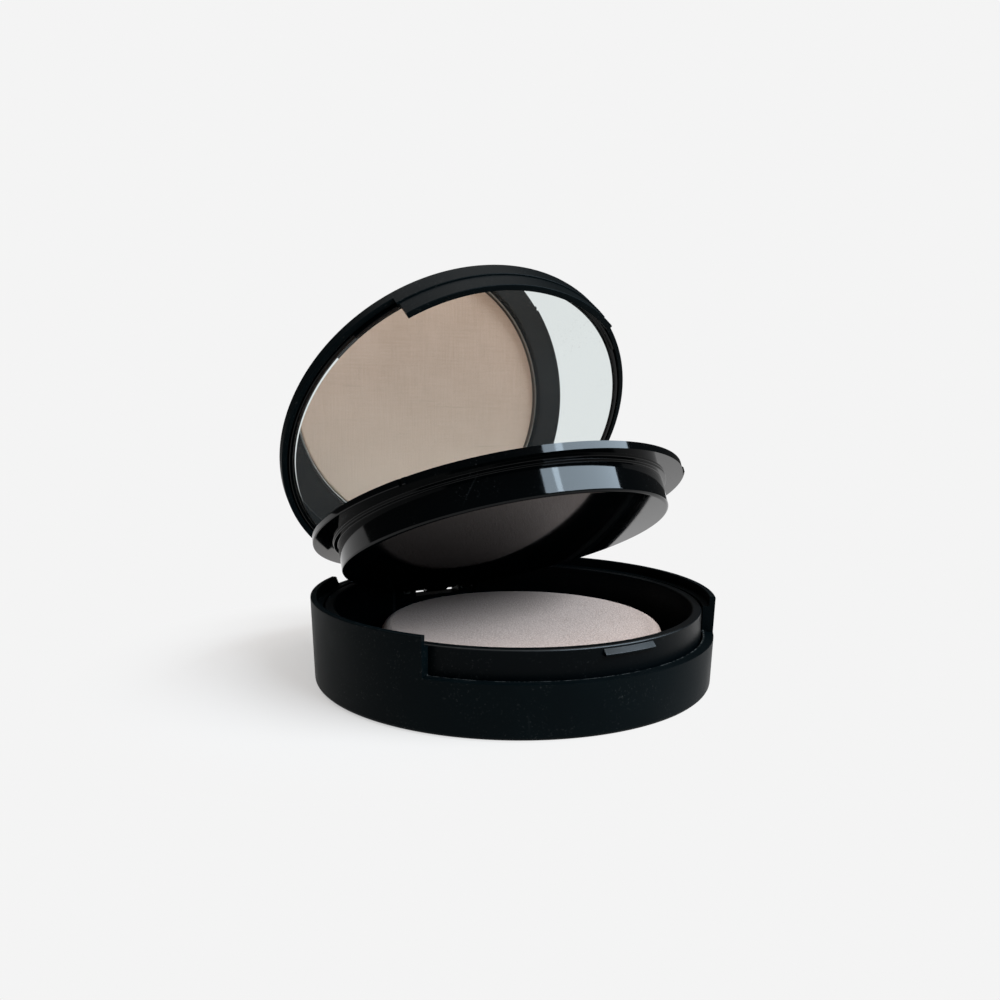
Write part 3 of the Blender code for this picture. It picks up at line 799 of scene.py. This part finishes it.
cut(tray, block("rear_flat", (-FAR, hinge.y - FLANGE_REAR_FLAT, below), (FAR, FAR, FAR)))
web_root = cup_radius - CUP_WALL / 2.0
join(tray, extruded("tray_web", [
    (web_root, hinge.z - TRAY_KNUCKLE_RADIUS * 0.7, 0.0),
    (hinge.y, hinge.z - TRAY_KNUCKLE_RADIUS * 0.95, 0.0),
    (hinge.y, hinge.z + TRAY_KNUCKLE_RADIUS * 0.95, 0.0),
    (hinge.y - FLANGE_REAR_FLAT, flange_bottom, 0.0),
    (web_root, flange_bottom, 0.0),
], -TRAY_KNUCKLE_HALF_WIDTH, TRAY_KNUCKLE_HALF_WIDTH))
half_width = TRAY_KNUCKLE_HALF_WIDTH
join(tray, hinge_bar("tray_knuckle", TRAY_KNUCKLE_RADIUS, -half_width, half_width, 0.5 * MM))
cut(tray, hinge_bar("tray_bore", PIN_BORE, -NOTCH_HALF_WIDTH, NOTCH_HALF_WIDTH))
finish(tray, tray_plastic, tray_rest)
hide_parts("powder_tray")
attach(tray, "tray")

# Powder pan and pressed powder.
# A thin pan pressed from aluminium sheet is glued into the cup; the powder is pressed into it
# against a linen cloth, which leaves its weave on the face.

PAN_SHEET = 0.4 * MM

pan_radius, pan_bottom, pan_top = shut_size("powder_pan", tray_rest)
cake_radius, cake_bottom, cake_top = shut_size("powder_cake", tray_rest)
CAKE_CROWN = 0.3 * MM
PALE_START = -20.0 * MM
PALE_FULL = 35.0 * MM

pan_metal, nodes, links, shader, place = new_material("pan_metal")
rolled = nodes.new("ShaderNodeMapping")
rolled.inputs["Scale"].default_value = (60.0, 3500.0, 3500.0)
links.new(place, rolled.inputs["Vector"])
rolling = noise_node(nodes, links, rolled.outputs["Vector"], 1.0, 2.0)
pan_tone = blend_node(nodes, links, rolling, (0.36, 0.32, 0.28), (0.48, 0.43, 0.38))
links.new(pan_tone, shader.inputs["Base Color"])
links.new(ramp_node(nodes, links, rolling, 0.3, 0.7, 0.42, 0.55), shader.inputs["Roughness"])
shader.inputs["Metallic"].default_value = 1.0

pan = spun("aluminium_pan", [
    (0.0, pan_bottom, 0.0),
    (pan_radius, pan_bottom, 0.5 * MM),
    (pan_radius, pan_top, 0.18 * MM),
    (pan_radius - PAN_SHEET, pan_top, 0.18 * MM),
    (pan_radius - PAN_SHEET, pan_bottom + PAN_SHEET, FINE_EDGE),
    (0.0, pan_bottom + PAN_SHEET, 0.0),
])
finish(pan, pan_metal, tray_rest)
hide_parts("powder_pan")
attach(pan, "tray")

powder, nodes, links, shader, place = new_material("pressed_powder")
laid = nodes.new("ShaderNodeMapping")
laid.vector_type = "TEXTURE"
laid.inputs["Rotation"].default_value = (-tray_angle, 0.0, 0.0)
links.new(place, laid.inputs["Vector"])
threads = []
for axis_scale in ((1.0, 0.05, 1.0), (0.05, 1.0, 1.0)):
    along = nodes.new("ShaderNodeMapping")
    along.inputs["Scale"].default_value = tuple(2600.0 * value for value in axis_scale)
    links.new(laid.outputs["Vector"], along.inputs["Vector"])
    threads.append(noise_node(nodes, links, along.outputs["Vector"], 1.0, 2.0, 0.6))
weave = math_node(nodes, links, "ADD", threads[0], threads[1])
patchy = noise_node(nodes, links, laid.outputs["Vector"], 110.0, 4.0, 0.6)
tone = blend_node(
    nodes, links, ramp_node(nodes, links, patchy, 0.3, 0.7), (0.72, 0.475, 0.35), (0.78, 0.52, 0.39)
)
# Painted light: the powder is paler towards the hinge, standing in for window light that the mirror
# throws back onto it.
toward_hinge = nodes.new("ShaderNodeSeparateXYZ")
links.new(laid.outputs["Vector"], toward_hinge.inputs["Vector"])
painted_mirror_light = ramp_node(nodes, links, toward_hinge.outputs["Y"], PALE_START, PALE_FULL, 0.0, 0.85)
tone = blend_node(nodes, links, painted_mirror_light, tone, (0.96, 0.69, 0.53))
threads_lit = ramp_node(nodes, links, weave, 0.75, 1.3, 0.0, 0.35)
tone = blend_node(nodes, links, threads_lit, tone, (0.88, 0.62, 0.48))
links.new(tone, shader.inputs["Base Color"])
shader.inputs["Roughness"].default_value = 0.92
shader.inputs["Specular IOR Level"].default_value = 0.15
bump(nodes, links, shader, weave, 0.45, 0.08 * MM)

cake = spun("pressed_powder", [
    (0.0, cake_bottom, 0.0),
    (cake_radius, cake_bottom, 0.0),
    (cake_radius, cake_top - CAKE_CROWN, 0.35 * MM),
    (cake_radius * 0.9, cake_top - CAKE_CROWN * 0.35, 0.0),
    (cake_radius * 0.7, cake_top - CAKE_CROWN * 0.08, 0.0),
    (cake_radius * 0.45, cake_top, 0.0),
    (0.0, cake_top, 0.0),
])
finish(cake, powder, tray_rest)
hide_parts("powder_cake")
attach(cake, "tray")

# Lid, moulded like the case, with a front tongue that snaps over the catch.
# Two arms with the outer knuckles reach down from its back edge.

LID_WALL = 1.1 * MM
LID_FILLET = 0.8 * MM
TONGUE_DROP = 1.7 * MM
LID_STACK = 1.5 * MM
TONGUE_HALF_ANGLE = 35.75
TONGUE_SHOULDER_ANGLE = 0.6
TONGUE_THICKNESS = 1.25 * MM
TONGUE_INSET = 0.3 * MM
TONGUE_ABOVE_LEDGE = 1.5 * MM
TONGUE_ROOT = 1.1 * MM
KNUCKLE_GAP = 0.3 * MM
LID_KNUCKLE_RADIUS = 1.9 * MM
ARM_INNER = 0.65 * MM
ARM_NECK = 0.6 * MM
ARM_SHOULDER = 0.35 * MM
ARM_NECK_HEIGHT = 0.8 * MM
ARM_BEZEL_GAP = 0.15 * MM

lid_radius, _, lid_top = shut_size("lid_shell", lid_rest)
mirror_radius, lid_rim, mirror_top = shut_size("mirror_glass", lid_rest)
lid_inner = lid_radius - LID_WALL
lid_ceiling = lid_rim + LID_STACK

lid = spun("lid_case", [
    (0.0, lid_top, 0.0),
    (lid_radius, lid_top, LID_FILLET),
    (lid_radius, lid_rim - TONGUE_DROP, EDGE),
    (lid_inner, lid_rim - TONGUE_DROP, EDGE),
    (lid_inner, lid_ceiling, FINE_EDGE),
    (0.0, lid_ceiling, 0.0),
])
cut(lid, spun("lid_rear_rim", [
    (liner_inner, -FAR, 0.0),
    (FAR, -FAR, 0.0),
    (FAR, lid_rim + EDGE, 0.0),
    (lid_radius, lid_rim + EDGE, 0.0),
    (lid_radius, lid_rim, EDGE),
    (lid_inner, lid_rim, EDGE),
    (lid_inner, lid_rim + EDGE, 0.0),
    (liner_inner, lid_rim + EDGE, 0.0),
], 180.0, 180.0 - TONGUE_HALF_ANGLE - TONGUE_SHOULDER_ANGLE))
tongue_outer = lid_radius - TONGUE_INSET
tongue_bottom = LEDGE_HEIGHT + TONGUE_ABOVE_LEDGE
tongue_root = lid_rim - TONGUE_ROOT
join(lid, spun("lid_tongue", [
    (tongue_outer - TONGUE_THICKNESS, tongue_bottom, EDGE),
    (tongue_outer, tongue_bottom, EDGE),
    (tongue_outer, tongue_root, 0.0),
    (tongue_outer - TONGUE_THICKNESS, tongue_root, 0.0),
], 0.0, TONGUE_HALF_ANGLE))
neck_inner = shut_size("mirror_bezel", lid_rest)[0] + ARM_BEZEL_GAP
for side in (-1.0, 1.0):
    near = side * (TRAY_KNUCKLE_HALF_WIDTH + KNUCKLE_GAP)
    far = side * (NOTCH_HALF_WIDTH - KNUCKLE_GAP)
    x_low, x_high = min(near, far), max(near, far)
    join(lid, extruded("lid_arm", [
        (hinge.y - ARM_INNER, hinge.z, 0.0),
        (hinge.y - ARM_INNER, lid_rim - ARM_SHOULDER, 0.0),
        (neck_inner, lid_rim - ARM_SHOULDER, 0.0),
        (neck_inner, lid_rim + ARM_NECK_HEIGHT, 0.0),
        (neck_inner + ARM_NECK, lid_rim + ARM_NECK_HEIGHT, 0.0),
        (neck_inner + ARM_NECK, hinge.z, 0.0),
    ], x_low, x_high))
    join(lid, hinge_bar("lid_knuckle", LID_KNUCKLE_RADIUS, x_low, x_high, EDGE))
cut(lid, hinge_bar("lid_bore", PIN_BORE, -NOTCH_HALF_WIDTH, NOTCH_HALF_WIDTH))
finish(lid, case_plastic, lid_rest)
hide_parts("lid_shell")
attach(lid, "lid")

# Mirror, its polished bezel ring and the tape behind it.
# The glass is a round of thin silvered float with a narrow ground bevel.

MIRROR_BEVEL = 0.3 * MM
BEZEL_WIDTH = 0.85 * MM
SKIRT_WIDTH = 0.45 * MM
SKIRT_HALF_ANGLE = 51.0

bezel_outer, skirt_low, bezel_high = shut_size("mirror_bezel", lid_rest)
bezel = spun("bezel_ring", [
    (bezel_outer - BEZEL_WIDTH, lid_rim, EDGE),
    (bezel_outer, lid_rim, EDGE),
    (bezel_outer, bezel_high, FINE_EDGE),
    (bezel_outer - BEZEL_WIDTH, bezel_high, FINE_EDGE),
])
join(bezel, spun("bezel_skirt", [
    (bezel_outer - SKIRT_WIDTH, skirt_low, FINE_EDGE),
    (bezel_outer, skirt_low, FINE_EDGE),
    (bezel_outer, bezel_high - FINE_EDGE, 0.0),
    (bezel_outer - SKIRT_WIDTH, bezel_high - FINE_EDGE, 0.0),
], 0.0, SKIRT_HALF_ANGLE))
finish(bezel, tray_plastic, lid_rest)
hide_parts("mirror_bezel")
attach(bezel, "lid")

silvered, nodes, links, shader, place = new_material("silvered_glass")
specks = place_group(nodes, links, dust_specks, place, 0.35)
lines = place_group(nodes, links, hairline_scuffs, place, 0.2)
haze = noise_node(nodes, links, place, 60.0, 4.0, 0.6)
marks = math_node(nodes, links, "MAXIMUM", specks, lines)
silver_tone = blend_node(nodes, links, marks, (0.80, 0.85, 0.845), (0.52, 0.55, 0.55))
links.new(silver_tone, shader.inputs["Base Color"])
gloss = ramp_node(nodes, links, haze, 0.4, 0.8, 0.008, 0.03)
gloss = math_node(nodes, links, "ADD", gloss, math_node(nodes, links, "MULTIPLY", marks, 0.3))
links.new(gloss, shader.inputs["Roughness"])
shader.inputs["Metallic"].default_value = 0.965

mirror = spun("round_mirror", [
    (0.0, lid_rim, 0.0),
    (mirror_radius - MIRROR_BEVEL, lid_rim, 0.0),
    (mirror_radius, lid_rim + MIRROR_BEVEL, 0.0),
    (mirror_radius, mirror_top, 0.0),
    (0.0, mirror_top, 0.0),
])
finish(mirror, silvered, lid_rest)
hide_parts("mirror_glass")
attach(mirror, "lid")


def sticky(name, color, scale):
    """Set adhesive or foam tape: matte, slightly uneven."""
    material, nodes, links, shader, place = new_material(name)
    lumps = noise_node(nodes, links, place, scale, 4.0)
    darker = tuple(channel * 0.85 for channel in color)
    links.new(blend_node(nodes, links, lumps, darker, color), shader.inputs["Base Color"])
    shader.inputs["Roughness"].default_value = 0.7
    bump(nodes, links, shader, lumps, 0.3, 0.05 * MM)
    return material


for node, material in (
    ("mirror_tape", sticky("foam_tape", (0.72, 0.72, 0.70), 900.0)),
    ("pan_glue", sticky("pan_adhesive", (0.62, 0.62, 0.56), 300.0)),
):
    frame["nodes"][node].data.materials.clear()
    frame["nodes"][node].data.materials.append(material)
